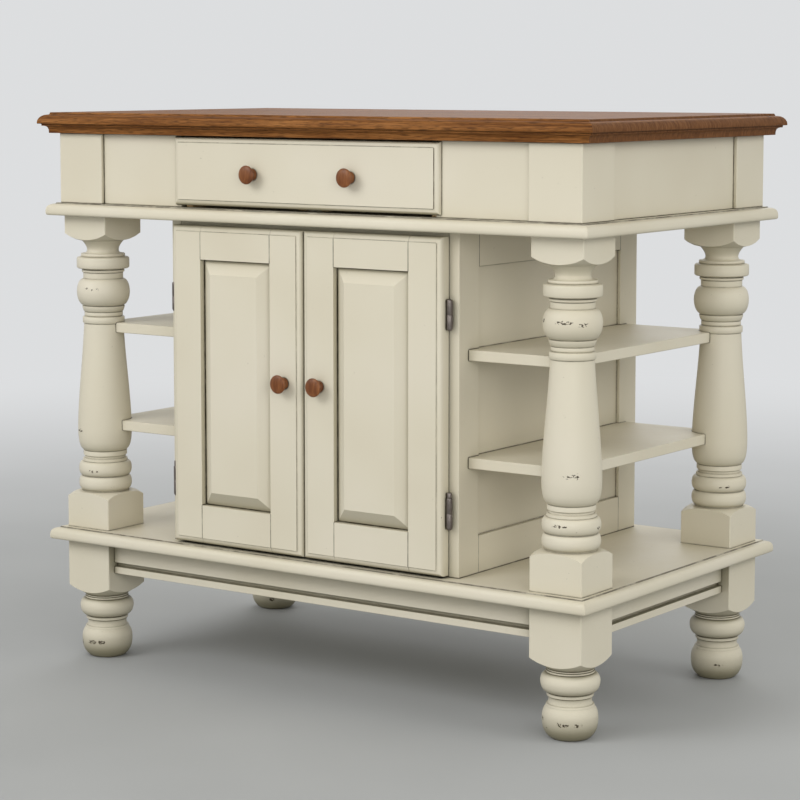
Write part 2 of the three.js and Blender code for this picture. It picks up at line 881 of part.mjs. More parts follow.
// A rail with a stub tenon at each end, the full width of the stile's groove
const doorRail = (z, grooveZ) =>
  subtract(
    join(
      intersect(doorBlank, block([openX[0] + FIT, openX[1] - FIT], ALL_Y, z)),
      block([openX[0] - TONGUE, openX[1] + TONGUE], tongueY, [
        Math.max(z[0], DOOR_LOW + FIT),
        Math.min(z[1], DOOR_HIGH - FIT),
      ]),
    ),
    block([openX[0] - STILE_INNER, openX[1] + STILE_OUTER], grooveY, grooveZ),
  );
doorPieces.rail_top = doorRail(
  [openZ[1], DOOR_HIGH + PAST],
  [openZ[1] - PAST, openZ[1] + DOOR_GROOVE],
);
doorPieces.rail_bottom = doorRail(
  [DOOR_LOW - PAST, openZ[0]],
  [openZ[0] - DOOR_GROOVE, openZ[0] + PAST],
);
// Panel rings from the back forward: tongue, bevel, field
const grow = ([low, high], by) => [low - by, high + by];
doorPieces.panel = ringStack(
  [
    [TONGUE, tongueY[1]],
    [TONGUE, tongueY[0]],
    [-SEAT, tongueY[0]],
    [-BEVEL, FIELD_Y],
  ].map(([by, y]) => ({ x: grow(openX, by), y: grow(openZ, by), at: y })),
  (x, z, y) => [x, y, z],
);
for (const [side, s] of SIDES) {
  for (const [name, geometry] of Object.entries(doorPieces)) {
    const shaped = s > 0 ? geometry : mirrorX(geometry);
    piece(doors[side], "door_" + side + "_" + name, paint, shaped);
  }
  piece(
    doors[side],
    "door_" + side + "_knob",
    knobWood,
    at(knob, DOOR_KNOB.x * s, FRONT_PLANE, DOOR_KNOB.z),
  );
}

// Hinges: the lower half of each barrel is fixed, the upper half turns with the door
const TAPER = 4;
const PIN_R = 3.9;
const fixedBarrel = ({ low, seam }) => [
  [low, 0],
  [low, 3],
  [low + TAPER, BARREL_R],
  [seam - FIT / 2, BARREL_R],
  [seam - FIT / 2, 0],
];
const doorBarrel = ({ seam, high, pin }) => [
  [seam + FIT / 2, 0],
  [seam + FIT / 2, BARREL_R],
  [high - TAPER / 2, BARREL_R],
  [high, PIN_R],
  ...(pin ? [[high + pin - 1, PIN_R], [high + pin, 3]] : []),
  [high + pin, 0],
];
const barrel = (profile) =>
  turned(profile, BARREL_SEGMENTS).translate(HINGE_X, HINGE_Y, 0);
// A leaf with its web up against the inner side of the barrel
const webX = [HINGE_X - BARREL_R, HINGE_X - BARREL_R + LEAF_THICK];
const leaf = (y, reach, [low, high], [webLow, webHigh]) => [
  block([LEAF_REACH, reach], y, [low, high]),
  block([LEAF_REACH, webX[1]], y, [webLow, webHigh]),
  block(webX, [HINGE_Y, y[1]], [webLow, webHigh]),
];
const fixedLeaf = (sizes) => {
  const face = CABINET_FRONT - FIT;
  const half = [sizes.low, sizes.seam - FIT / 2];
  return join(
    barrel(fixedBarrel(sizes)),
    ...leaf([face - LEAF_THICK, face], DOOR_OUTER - 1, [sizes.low, sizes.high], half),
  );
};
const doorLeaf = (sizes) => {
  const back = doorBack - FIT / 2;
  const half = [sizes.seam + FIT / 2, sizes.high];
  return join(
    barrel(doorBarrel(sizes)),
    ...leaf([back - LEAF_THICK, back], DOOR_OUTER, [sizes.low, sizes.high], half),
  );
};
for (const [level, sizes] of Object.entries(HINGES)) {
  const still = fixedLeaf(sizes);
  const moving = doorLeaf(sizes);
  for (const [side, s] of SIDES) {
    const name = "hinge_" + side + "_" + level;
    piece(carcass, name + "_frame_leaf", pewter, s > 0 ? still : mirrorX(still));
    piece(doors[side], name + "_door_leaf", pewter, s > 0 ? moving : mirrorX(moving));
  }
}

export default island;
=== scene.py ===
import json
import math

import bmesh
import bpy
from mathutils import Matrix, Vector


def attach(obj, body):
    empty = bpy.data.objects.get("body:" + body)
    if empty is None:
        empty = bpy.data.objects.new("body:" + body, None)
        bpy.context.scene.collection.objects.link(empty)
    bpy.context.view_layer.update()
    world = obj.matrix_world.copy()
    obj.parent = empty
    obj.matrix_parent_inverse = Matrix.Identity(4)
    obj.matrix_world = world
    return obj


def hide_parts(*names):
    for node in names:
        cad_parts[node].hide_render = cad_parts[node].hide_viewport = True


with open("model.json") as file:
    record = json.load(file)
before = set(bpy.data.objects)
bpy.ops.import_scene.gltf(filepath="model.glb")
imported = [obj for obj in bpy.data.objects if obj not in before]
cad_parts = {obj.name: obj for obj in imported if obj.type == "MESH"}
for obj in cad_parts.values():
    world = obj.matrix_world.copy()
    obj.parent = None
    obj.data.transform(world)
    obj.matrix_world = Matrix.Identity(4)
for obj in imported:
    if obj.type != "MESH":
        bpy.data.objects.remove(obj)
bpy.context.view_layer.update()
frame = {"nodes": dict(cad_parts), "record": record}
nodes = frame["nodes"]
MM = 0.001


def put(name, data):
    """A new object in the scene."""
    thing = bpy.data.objects.new(name, data)
    bpy.context.scene.collection.objects.link(thing)
    return thing


# ---------------------------------------------------------------- camera
# Fitted to the corners of the boards, posts and worktop in the photograph.
PHOTO_WIDTH = 800  # pixels
FOCAL_LENGTH = 2476.6  # pixels
LOOKS_DOWN = 5.749  # degrees
TURNED_LEFT = 35.234  # degrees

camera = put("camera", bpy.data.cameras.new("camera"))
bpy.context.scene.camera = camera
camera.data.sensor_width = 36
camera.data.lens = FOCAL_LENGTH * camera.data.sensor_width / PHOTO_WIDTH
camera.data.shift_y = -0.1
camera.data.clip_start = 0.05
camera.data.clip_end = 60
camera.location = (2.3251, -3.3106, 0.98275)
camera.rotation_euler = (math.radians(90 - LOOKS_DOWN), 0, math.radians(TURNED_LEFT))


# ---------------------------------------------------------------- node materials
def srgb(r, g, b):
    """The linear colour of an sRGB one in 0..255."""
    lin = [c / 255 / 12.92 if c <= 10 else ((c / 255 + 0.055) / 1.055) ** 2.4 for c in (r, g, b)]
    return (*lin, 1)


class Nodes:
    """A short way to write a node tree: calls add nodes and return an output."""

    def __init__(self, name):
        self.material = bpy.data.materials.new(name)
        self.material.use_nodes = True
        self.tree = self.material.node_tree
        self.shader = self.tree.nodes["Principled BSDF"]
        self.coords = self.tree.nodes.new("ShaderNodeTexCoord").outputs["Object"]

    def add(self, kind, inputs=(), out=0, **settings):
        node = self.tree.nodes.new(kind)
        for key, value in settings.items():
            setattr(node, key, value)
        for key, value in dict(inputs).items():
            socket = node.inputs[key]
            if isinstance(value, bpy.types.NodeSocket):
                self.tree.links.new(value, socket)
            else:
                socket.default_value = value
        return node.outputs[out]

    def math(self, op, a, b=0.0):
        return self.add("ShaderNodeMath", {0: a, 1: b}, operation=op)

    def distance(self, value, place):
        """How far a coordinate is from a place."""
        return self.math("ABSOLUTE", self.math("SUBTRACT", value, place))

    def axis(self, index, vector=None):
        """One coordinate of a vector, or of the shaded point if none is given."""
        source = self.coords if vector is None else vector
        return self.add("ShaderNodeSeparateXYZ", {0: source}, out=index)

    def facing(self, index):
        """How far the surface faces along an axis, -1 to 1."""
        return self.axis(index, self.add("ShaderNodeNewGeometry", out=1))

    def painted(self, name):
        """A number painted on the mesh, 0 on a mesh without it."""
        return self.add("ShaderNodeAttribute", out=2, attribute_name=name)

    def scaled(self, x, y, z, vector=None):
        source = self.coords if vector is None else vector
        return self.add("ShaderNodeMapping", {"Vector": source, "Scale": (x, y, z)})

    def noise(self, vector, scale=1.0, detail=3.0, rough=0.55, distort=0.0):
        inputs = {"Vector": vector, "Scale": scale, "Detail": detail}
        inputs.update({"Roughness": rough, "Distortion": distort})
        return self.add("ShaderNodeTexNoise", inputs)

    def ramp(self, value, *stops, interpolation="LINEAR"):
        """A colour ramp from (position, colour or grey) stops."""
        node = self.tree.nodes.new("ShaderNodeValToRGB")
        node.color_ramp.interpolation = interpolation
        elements = node.color_ramp.elements
        while len(elements) < len(stops):
            elements.new(0.5)
        for element, (position, colour) in zip(elements, stops):
            element.position = position
            element.color = colour if isinstance(colour, tuple) else (colour, colour, colour, 1)
        self.tree.links.new(value, node.inputs[0])
        return node.outputs[0]

    def mix(self, factor, a, b):
        return self.add("ShaderNodeMix", {0: factor, 6: a, 7: b}, out=2, data_type="RGBA")

    def hollow(self, distance, samples=8):
        """0 on an open face, towards 1 in a joint, quirk or corner; distance in metres."""
        ao = self.add("ShaderNodeAmbientOcclusion", {"Distance": distance}, out=1, samples=samples)
        return self.math("SUBTRACT", 1.0, ao)

    def bump(self, height, strength, distance):
        inputs = {"Height": height, "Strength": strength, "Distance": distance}
        normal = self.add("ShaderNodeBump", inputs)
        self.tree.links.new(normal, self.shader.inputs["Normal"])

    def finish(self, **values):
        for key, value in values.items():
            socket = self.shader.inputs[key.replace("_", " ")]
            if isinstance(value, bpy.types.NodeSocket):
                self.tree.links.new(value, socket)
            else:
                socket.default_value = value
        return self.material


# Tones of the paint, and of the shade painted on it
CREAM = srgb(219, 212, 194)
CREAM_DEEP = srgb(215, 207, 188)
CREAM_PALE = srgb(222, 215, 199)
OLIVE = srgb(138, 132, 100)  # painted shade in wide hollows and on faces that turn down
SHADE = srgb(112, 106, 80)  # painted shade under the base shelf
GLAZE = srgb(60, 51, 32)
# painted shade inside narrow gaps
GAP_SHADE = srgb(20, 17, 10)
CHIPPED = srgb(64, 52, 36)

# Frames whose joints between stiles and rails show as lines, in metres: places of the joints
# across the frame, middle and half height of its opening, and the plane of its face
DOOR_FRAME = {"edges": (0.0622, 0.2020), "middle": 0.48575, "reach": 0.19795, "face": -0.284}
SIDE_FRAME = {"edges": (-0.2066, 0.2141), "middle": 0.4845, "reach": 0.2055, "face": 0.2791}
BACK_FRAME = {"edges": (-0.2065, 0.2065), "middle": 0.4845, "reach": 0.2055, "face": 0.268}
JOINT_LENGTH = 0.07  # wider than any rail
JOINT_HALF_WIDTH = 0.0008

# The quirk round the upper face of the base shelf and of the mid board, in metres
QUIRK_TOPS = (0.2208, 0.7646)
QUIRK_X, QUIRK_Y = 0.5102, 0.2855
QUIRK_HALF_WIDTH = 0.0011

UNDER_BASE_SHELF = 0.2  # metres


def joint_lines(n, across, up, out, edges, middle, reach, face):
    """1 on the joint lines of a frame, which run on from its opening over both rails.
    across, up and out are the shaded point's coordinates as seen from the frame."""
    near = n.math("MINIMUM", *[n.distance(across, edge) for edge in edges])
    near = n.math("LESS_THAN", near, JOINT_HALF_WIDTH)
    height = n.distance(up, middle)
    beyond = n.math("GREATER_THAN", height, reach)
    within = n.math("LESS_THAN", height, reach + JOINT_LENGTH)
    on_face = n.math("LESS_THAN", n.distance(out, face), 0.0004)
    return n.math("MULTIPLY", n.math("MULTIPLY", near, beyond), n.math("MULTIPLY", within, on_face))


def quirk_lines(n, side, depth, z):
    """1 along the quirk that runs round the upper face of both moulded boards."""
    level = n.math("MINIMUM", *[n.distance(z, top) for top in QUIRK_TOPS])
    near_x = n.math("LESS_THAN", n.distance(side, QUIRK_X), QUIRK_HALF_WIDTH)
    near_y = n.math("LESS_THAN", n.distance(depth, QUIRK_Y), QUIRK_HALF_WIDTH)
    on_x = n.math("MULTIPLY", near_x, n.math("LESS_THAN", depth, QUIRK_Y + QUIRK_HALF_WIDTH))
    on_y = n.math("MULTIPLY", near_y, n.math("LESS_THAN", side, QUIRK_X + QUIRK_HALF_WIDTH))
    return n.math("MULTIPLY", n.math("LESS_THAN", level, 0.002), n.math("MAXIMUM", on_x, on_y))


def cream_paint():
    """Cream satin paint: even in tone, thin dark glaze in the joints, chips on the turnings, and painted
    shade in hollows, gaps, under the base shelf and on faces that turn down.
    """
    n = Nodes("cream_paint")
    x, y, z = n.axis(0), n.axis(1), n.axis(2)
    turned = n.painted("turned")
    cloud = n.noise(n.coords, 4.0, 2.0)
    colour = n.ramp(cloud, (0.3, CREAM_DEEP), (0.5, CREAM), (0.7, CREAM_PALE))
    # painted shade: a soft olive darkening in wide hollows, about half as strong on the turnings
    wide = n.ramp(n.hollow(0.05, 6), (0.22, 0.0), (0.88, 0.50))
    wide = n.math("MULTIPLY", wide, n.math("SUBTRACT", 1.0, n.math("MULTIPLY", turned, 0.45)))
    colour = n.mix(wide, colour, OLIVE)
    # painted shade: faces that turn down are darkened towards olive, as if less light reached them from
    # below
    down = n.math("MULTIPLY", n.facing(2), -1.0)
    colour = n.mix(n.ramp(down, (0.0, 0.0), (0.6, 0.34)), colour, OLIVE)
    # painted shade: under the base shelf the shade reaches further
    below = n.math("LESS_THAN", z, UNDER_BASE_SHELF)
    deep = n.ramp(n.hollow(0.11, 6), (0.18, 0.0), (0.60, 0.74))
    colour = n.mix(n.math("MULTIPLY", deep, below), colour, SHADE)
    # painted shade: near black inside narrow gaps
    gap_shade = n.ramp(n.hollow(0.008, 6), (0.66, 0.0), (0.82, 0.97))
    gap_shade = n.math("MULTIPLY", gap_shade, n.math("SUBTRACT", 1.0, turned))
    colour = n.mix(gap_shade, colour, GAP_SHADE)
    # glaze: a thin line in every joint and quirk, in broken lengths
    broken = n.ramp(n.noise(n.coords, 30.0, 4.0, 0.65), (0.36, 0.5), (0.54, 1.0))
    line = n.ramp(n.hollow(0.0026), (0.09, 0.0), (0.33, 1.0))
    # the turnings are wiped cleaner than the joints
    wiped = n.math("SUBTRACT", 0.92, n.math("MULTIPLY", turned, 0.46))
    side = n.math("ABSOLUTE", x)
    doors = joint_lines(n, side, z, y, **DOOR_FRAME)
    sides = joint_lines(n, y, z, side, **SIDE_FRAME)
    back = joint_lines(n, x, z, y, **BACK_FRAME)
    joints = n.math("MAXIMUM", n.math("MAXIMUM", doors, sides), back)
    joints = n.math("MAXIMUM", joints, quirk_lines(n, side, n.math("ABSOLUTE", y), z))
    lines = n.math("MAXIMUM", n.math("MULTIPLY", line, wiped), n.math("MULTIPLY", joints, 0.78))
    colour = n.mix(n.math("MULTIPLY", lines, broken), colour, GLAZE)
    # chips: where the mesh carries a mark, noise breaks it into flecks
    mark = n.painted("chips")
    fleck = n.noise(n.scaled(1, 1, 1.5), 260.0, 2.0, 0.6)
    chip = n.math("GREATER_THAN", n.math("ADD", fleck, n.math("MULTIPLY", mark, 0.36)), 0.78)
    colour = n.mix(chip, colour, CHIPPED)
    rough = n.ramp(n.noise(n.coords, 60.0, 2.0), (0.3, 0.44), (0.7, 0.52))
    n.bump(n.noise(n.coords, 300.0, 2.0), 0.04, 0.0003)
    return n.finish(Base_Color=colour, Roughness=rough, Specular_IOR_Level=0.4)


BOARDS_PER_METRE = 9.2  # glued side by side in the worktop


def oak():
    """Stained oak, grain along X; the ends show short strokes of end grain."""
    n = Nodes("oak_worktop")
    # each board takes its grain from another place and has a tint of its own
    board = n.math("FLOOR", n.math("MULTIPLY", n.axis(1), BOARDS_PER_METRE))
    shift = n.add("ShaderNodeCombineXYZ", {0: n.math("MULTIPLY", board, 3.71), 1: 0.0, 2: 0.0})
    place = n.add("ShaderNodeVectorMath", {0: n.coords, 1: shift}, operation="ADD")
    figure = n.noise(n.scaled(1.3, 22, 22, place), 2.2, 4.0, 0.6, 0.9)
    streak = n.noise(n.scaled(9, 320, 320, place), 1.0, 4.0, 0.7)
    pores = n.noise(n.scaled(48, 900, 900, place), 1.0, 2.0)
    strokes = n.noise(n.scaled(20, 520, 70, place), 1.0, 3.0, 0.6)
    end = n.math("GREATER_THAN", n.math("ABSOLUTE", n.facing(0)), 0.6)
    tint = n.noise(n.add("ShaderNodeCombineXYZ", {0: board, 1: 0.3, 2: 0.7}), 3.3, 0.0)
    tone = n.math("ADD", n.math("MULTIPLY", figure, 0.32), n.math("MULTIPLY", streak, 0.60))
    tone = n.math("ADD", tone, n.math("MULTIPLY", tint, 0.10))
    colour = n.ramp(
        tone,
        (0.36, srgb(82, 48, 20)),
        (0.46, srgb(114, 70, 32)),
        (0.54, srgb(138, 90, 46)),
        (0.64, srgb(160, 108, 60)),
    )
    dark = n.ramp(pores, (0.38, 0.8), (0.48, 0.0))
    colour = n.mix(n.math("MULTIPLY", dark, 0.85), colour, srgb(58, 31, 14))
    grain_end = n.ramp(
        strokes,
        (0.36, srgb(86, 52, 28)),
        (0.52, srgb(116, 76, 44)),
        (0.66, srgb(132, 90, 56)),
    )
    colour = n.mix(end, colour, grain_end)
    # painted shade: darker in the worktop's creases and corners
    crease_shade = n.ramp(n.hollow(0.004), (0.16, 0.0), (0.5, 0.85))
    colour = n.mix(crease_shade, colour, srgb(40, 22, 12))
    rough = n.ramp(streak, (0.3, 0.50), (0.7, 0.60))
    n.bump(n.math("SUBTRACT", streak, n.math("MULTIPLY", dark, 0.5)), 0.14, 0.0005)
    return n.finish(Base_Color=colour, Roughness=rough, Specular_IOR_Level=0.10)


def knob_wood():
    """Turned brown wood with end grain on the head."""
    n = Nodes("knob_wood")
    figure = n.noise(n.scaled(60, 60, 9), 1.6, 3.0, 0.6, 0.6)
    streak = n.noise(n.scaled(700, 700, 60), 1.0, 3.0)
    tone = n.math("ADD", n.math("MULTIPLY", figure, 0.65), n.math("MULTIPLY", streak, 0.35))
    colour = n.ramp(tone, (0.34, srgb(92, 50, 24)), (0.5, srgb(122, 72, 38)), (0.66, srgb(146, 94, 54)))
    # painted shade: darker in the knob's hollows, under its head and round its neck
    dark = n.ramp(n.hollow(0.008, 6), (0.2, 0.0), (0.8, 0.9))
    colour = n.mix(dark, colour, srgb(58, 34, 20))
    n.bump(streak, 0.10, 0.0003)
    wax = {"Coat_Weight": 0.06, "Coat_Roughness": 0.2}
    return n.finish(Base_Color=colour, Roughness=0.42, Specular_IOR_Level=0.3, **wax)


def bare_wood():
    """Clear-sealed light wood of the drawer box and the shelf inside."""
    n = Nodes("bare_wood")
    figure = n.noise(n.scaled(30, 3, 30), 1.5, 3.0, 0.6, 0.7)
    streak = n.noise(n.scaled(300, 12, 300), 1.0, 3.0)
    tone = n.math("ADD", n.math("MULTIPLY", figure, 0.6), n.math("MULTIPLY", streak, 0.4))
    colour = n.ramp(
        tone,
        (0.35, srgb(190, 158, 112)),
        (0.5, srgb(212, 184, 140)),
        (0.65, srgb(226, 202, 162)),
    )
    n.bump(streak, 0.1, 0.0003)
    return n.finish(Base_Color=colour, Roughness=0.6)


def pewter():
    """Dark pewter plating, rubbed smooth."""
    n = Nodes("pewter_hinge")
    cloud = n.noise(n.coords, 120.0, 2.0)
    colour = n.ramp(cloud, (0.3, srgb(112, 104, 100)), (0.7, srgb(130, 122, 118)))
    # painted shade: darker in the seams between knuckles and leaves
    dark = n.ramp(n.hollow(0.0015, 6), (0.3, 0.0), (0.8, 0.9))
    colour = n.mix(dark, colour, srgb(46, 40, 36))
    n.bump(cloud, 0.03, 0.0002)
    return n.finish(Base_Color=colour, Metallic=0.85, Roughness=0.42)


MATERIALS = {
    "cream_paint": cream_paint(),
    "oak_worktop": oak(),
    "knob_wood": knob_wood(),
    "bare_wood": bare_wood(),
    "pewter_hinge": pewter(),
}
SLOT_OF = {entry["node"]: entry["material_slot"] for entry in frame["record"]["subparts"]}


# ---------------------------------------------------------------- dressing the CAD nodes
SMOOTH_BELOW = 34  # degrees between two faces that shade as one
PANEL_SMOOTH_BELOW = 6  # keeps a crisp line round a raised field and at its mitres
PLACES_PER_METRE = 1e5  # points nearer than 0.01 mm count as one


def crease(mesh, angle):
    """Smooth shading with hard edges over the angle, on a mesh whose faces are still split."""
    mesh.attributes.remove(mesh.attributes["custom_normal"])
    mesh.polygons.foreach_set("use_smooth", [True] * len(mesh.polygons))

    def place(vertex):
        return tuple(round(c * PLACES_PER_METRE) for c in mesh.vertices[vertex].co)

    faces_at = {}
    for face in mesh.polygons:
        for edge in face.edge_keys:
            faces_at.setdefault(tuple(sorted(map(place, edge))), []).append(face.normal)
    limit = math.cos(math.radians(angle))
    sharp = []
    for edge in mesh.edges:
        normals = faces_at.get(tuple(sorted(map(place, edge.vertices))), [])
        sharp.append(len(normals) != 2 or normals[0].dot(normals[1]) < limit)
    mesh.attributes["sharp_edge"].data.foreach_set("value", sharp)


def dress(name, bevel, angle):
    """The CAD node in its material, with its arrises eased by a bevel (mm)."""
    node = nodes[name]
    node.data.materials.clear()
    node.data.materials.append(MATERIALS[SLOT_OF[name]])
    crease(node.data, angle)
    weld = node.modifiers.new("weld", "WELD")
    weld.merge_threshold = 1 / PLACES_PER_METRE
    flat = node.modifiers.new("flat", "DECIMATE")
    flat.decimate_type = "DISSOLVE"
    flat.angle_limit = math.radians(0.5)
    flat.delimit = set()
    ease = node.modifiers.new("ease", "BEVEL")
    ease.width = bevel * MM
    ease.segments = 2
    ease.limit_method = "ANGLE"
    ease.angle_limit = math.radians(SMOOTH_BELOW)
    ease.use_clamp_overlap = True
    ease.harden_normals = True


# Bevel in mm by the beginning of a node's name
EASED = {
    "worktop": 0.7,
    "mid_board": 0.6,
    "base_shelf": 0.6,
    "corner_block": 0.6,
    "apron": 0.6,
    "base_rail": 0.7,
    "shelf": 1.2,
    "cabinet": 0.7,
    "face_frame": 0.7,
    "inner_shelf": 0.5,
    "door": 0.45,
    "drawer": 0.45,
}
REBUILT = ("post_", "foot_", "hinge_")  # built anew below, like the knobs


def bevel_for(name):
    """The width that EASED gives for the node's name."""
    return next(width for prefix, width in EASED.items() if name.startswith(prefix))


for name in nodes:
    if not name.startswith(REBUILT) and "knob" not in name:
        smooth = PANEL_SMOOTH_BELOW if name.endswith("_panel") else SMOOTH_BELOW
        dress(name, bevel_for(name), smooth)


# ---------------------------------------------------------------- turned pieces
def bead(z0, z1, base, crest, count=9):
    """A half-round ring from z0 to z1."""
    middle, half = (z0 + z1) / 2, (z1 - z0) / 2
    angles = [math.pi * i / count for i in range(count + 1)]
    return [(middle - half * math.cos(a), base + (crest - base) * math.sin(a)) for a in angles]


def curve(points, steps=4):
    """A smooth line through (z, radius) points."""
    ends = [points[0], *points, points[-1]]
    out = []
    for i in range(1, len(ends) - 2):
        a, b, c, d = (Vector(p) for p in ends[i - 1 : i + 3])
        for k in range(steps):
            t = k / steps
            p = b * 2 + (c - a) * t + (a * 2 - b * 5 + c * 4 - d) * t * t + (b * 3 - a - c * 3 + d) * t**3
            out.append(tuple(p / 2))
    return [*out, points[-1]]


def octant_angles(half, arris, count):
    """Angles round a square: count steps from each side's middle to the corner's eased edge,
    and one at the corner."""
    corner = math.atan2(half - arris, half)
    first = [corner * i / count for i in range(count + 1)]
    octant = first + [math.pi / 4]
    quadrant = octant + [math.pi / 2 - a for a in reversed(octant[:-1])]
    return [q * math.pi / 2 + a for q in range(4) for a in quadrant[:-1]]


def square_reach(angle, half, arris):
    """Distance from the middle to the eased square's edge."""
    c, s = abs(math.cos(angle)), abs(math.sin(angle))
    return min(half / max(c, s), (2 * half - arris) / (c + s))


def circle_angles(sides):
    """Angles of the corners of a round with so many sides."""
    return [2 * math.pi * i / sides for i in range(sides)]


def sweep(rings):
    """A closed mesh from rings of equally many points."""
    count = len(rings[0])
    verts = [Vector(p) * MM for ring in rings for p in ring]
    faces = []
    for r in range(len(rings) - 1):
        for i in range(count):
            j = (i + 1) % count
            faces.append((r * count + i, r * count + j, (r + 1) * count + j, (r + 1) * count + i))
    faces.append(tuple(reversed(range(count))))
    faces.append(tuple((len(rings) - 1) * count + i for i in range(count)))
    mesh = bpy.data.meshes.new("swept")
    mesh.from_pydata(verts, [], faces)
    return mesh


def turned_rings(profile, angles):
    """Round rings from a profile of (z, radius)."""
    return [[(r * math.cos(a), r * math.sin(a), z) for a in angles] for z, r in profile]


def block_rings(shoulder, end, angles, half, arris, steps=7):
    """Rings of a squared block whose turned shoulder domes over to the turning.
    shoulder lists (z, radius) from the turning outwards, end is the block's far level."""
    def level(radius):
        for (z0, r0), (z1, r1) in zip(shoulder, shoulder[1:]):
            if radius <= r1:
                return z0 + (z1 - z0) * (radius - r0) / (r1 - r0)
        return shoulder[-1][0]

    inner = shoulder[0][1]
    rings = []
    for step in range(steps + 1):
        ring = []
        for a in angles:
            reach = square_reach(a, half, arris)
            radius = inner + (reach - inner) * step / steps
            ring.append((radius * math.cos(a), radius * math.sin(a), level(radius)))
        rings.append(ring)
    flat = [(square_reach(a, half, arris), a) for a in angles]
    rings.append([(r * math.cos(a), r * math.sin(a), end) for r, a in flat])
    return rings


def add_piece(name, mesh, place, body, slot, replaced, smooth=SMOOTH_BELOW):
    """Shades a new piece, lets it ride on its body and stand for its CAD nodes."""
    mesh.name = name
    mesh.transform(Matrix.Translation(Vector(place) * MM))
    mesh.shade_smooth()
    mesh.set_sharp_from_angle(angle=math.radians(smooth))
    mesh.materials.append(MATERIALS[slot])
    piece = put(name, mesh)
    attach(piece, body)
    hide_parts(*replaced)


def block(low, high):
    """A bmesh box between two corners given in mm."""
    shape = bmesh.new()
    bmesh.ops.create_cube(shape, size=1)
    size = [b - a for a, b in zip(low, high)]
    middle = [(a + b) / 2 for a, b in zip(low, high)]
    stretch = Matrix.Diagonal((*(s * MM for s in size), 1))
    shape.transform(Matrix.Translation(Vector(middle) * MM) @ stretch)
    return shape


def as_mesh(name, shape):
    """The mesh of a bmesh, which is freed."""
    mesh = bpy.data.meshes.new(name)
    shape.to_mesh(mesh)
    shape.free()
    return mesh


def carve(mesh, boxes):
    """The mesh with boxes (low, high) cut away."""
    work = put("work", mesh)
    cutters = []
    for low, high in boxes:
        cutter = put("cutter", as_mesh("cutter", block(low, high)))
        cut = work.modifiers.new("cut", "BOOLEAN")
        cut.operation = "DIFFERENCE"
        cut.solver = "EXACT"
        cut.object = cutter
        cutters.append(cutter)
    shown = work.evaluated_get(bpy.context.evaluated_depsgraph_get())
    result = bpy.data.meshes.new_from_object(shown)
    for gone in [work, *cutters]:
        bpy.data.objects.remove(gone)
    return result


MARK_PEAK = 1.4  # at a spot's middle, falling to 0 at its edge
MARK_MOST = 0.84  # where the mark is cut off


def mark_chips(mesh, spots):
    """Marks the whole mesh as turned, and paints a soft mark round each chipped spot:
    direction in degrees, level, half angle, half height."""
    turned = mesh.attributes.new("turned", "FLOAT", "POINT")
    turned.data.foreach_set("value", [1.0] * len(mesh.vertices))
    chips = mesh.attributes.new("chips", "FLOAT", "POINT")
    for vertex, value in zip(mesh.vertices, chips.data):
        x, y, z = vertex.co / MM
        angle = math.degrees(math.atan2(y, x))
        best = 0.0
        for direction, level, wide, tall in spots:
            turn = (angle - direction + 180) % 360 - 180
            far = (turn / wide) ** 2 + ((z - level) / tall) ** 2
            best = max(best, MARK_PEAK * (1 - far))
        value.value = min(MARK_MOST, best)


# Posts and feet in mm: half the blank's width, the ease of its corners, steps along half a side
HALF = 44.85
ARRIS = 1.2
SIDE_STEPS = 13
POST_X, POST_Y = 457.6, 229.7
POST_BOTTOM, POST_TOP = 221.7, 744.6
FOOT_TOP = 200.8

# Turnings as (level, radius), upwards
TURNING = [
    (281.9, 38.0),
    (283.6, 38.2),
    *bead(284.2, 307.4, 38.4, 44.0),
    *bead(308.2, 331.3, 38.4, 44.0),
    (331.8, 36.5),
    (332.3, 37.1),
    (336.3, 37.1),
    (336.8, 36.3),
    (337.2, 33.8),
    (340.7, 33.7),
    (341.3, 35.0),
    (342.4, 36.2),
    (348.8, 36.3),
    (349.7, 35.8),
    (350.1, 34.8),
    *curve(
        [
            (350.6, 35.6),
            (352.4, 38.0),
            (357.0, 40.9),
            (366, 43.4),
            (384, 44.7),
            (412, 44.0),
            (452, 41.3),
            (510, 36.3),
            (545, 33.7),
            (563.2, 32.6),
        ]
    ),
    (563.7, 31.9),
    (564.4, 34.1),
    (565.4, 34.7),
    (573.6, 34.7),
    (574.6, 34.2),
    (575.2, 32.2),
    (575.7, 31.0),
    (576.3, 31.5),
    (577.6, 31.9),
    (581.2, 31.9),
    (582.3, 31.6),
    (583.0, 30.6),
    (583.6, 32.2),
    (584.6, 33.1),
    (591.2, 35.3),
    (592.4, 35.3),
    (593.1, 34.4),
    (593.5, 33.4),
    *curve(
        [
            (594.0, 34.8),
            (597.2, 38.5),
            (603.9, 42.0),
            (612.0, 43.7),
            (621.0, 43.8),
            (629.5, 41.9),
            (635.0, 38.8),
            (637.8, 35.4),
        ]
    ),
    (638.4, 33.0),
    (639.0, 33.1),
    (647.9, 33.1),
    (648.5, 32.2),
    (649.1, 34.6),
    (650.0, 35.3),
    (652.6, 35.3),
    (653.4, 34.6),
    (653.9, 32.6),
    (654.7, 32.8),
    (655.1, 39.0),
    (655.5, 41.4),
    (656.8, 43.1),
    (658.6, 43.6),
    (665.0, 43.7),
    (671.8, 43.6),
    (673.4, 43.0),
    (674.3, 41.4),
    (674.7, 38.4),
    (675.2, 36.0),
    (676.0, 36.5),
    (679.4, 36.5),
    (680.2, 36.0),
    (680.6, 32.0),
    *curve([(681.0, 29.2), (683.0, 27.2), (686.6, 26.2), (691.6, 27.5), (696.9, 30.6), (701.8, 34.6)], 3),
]
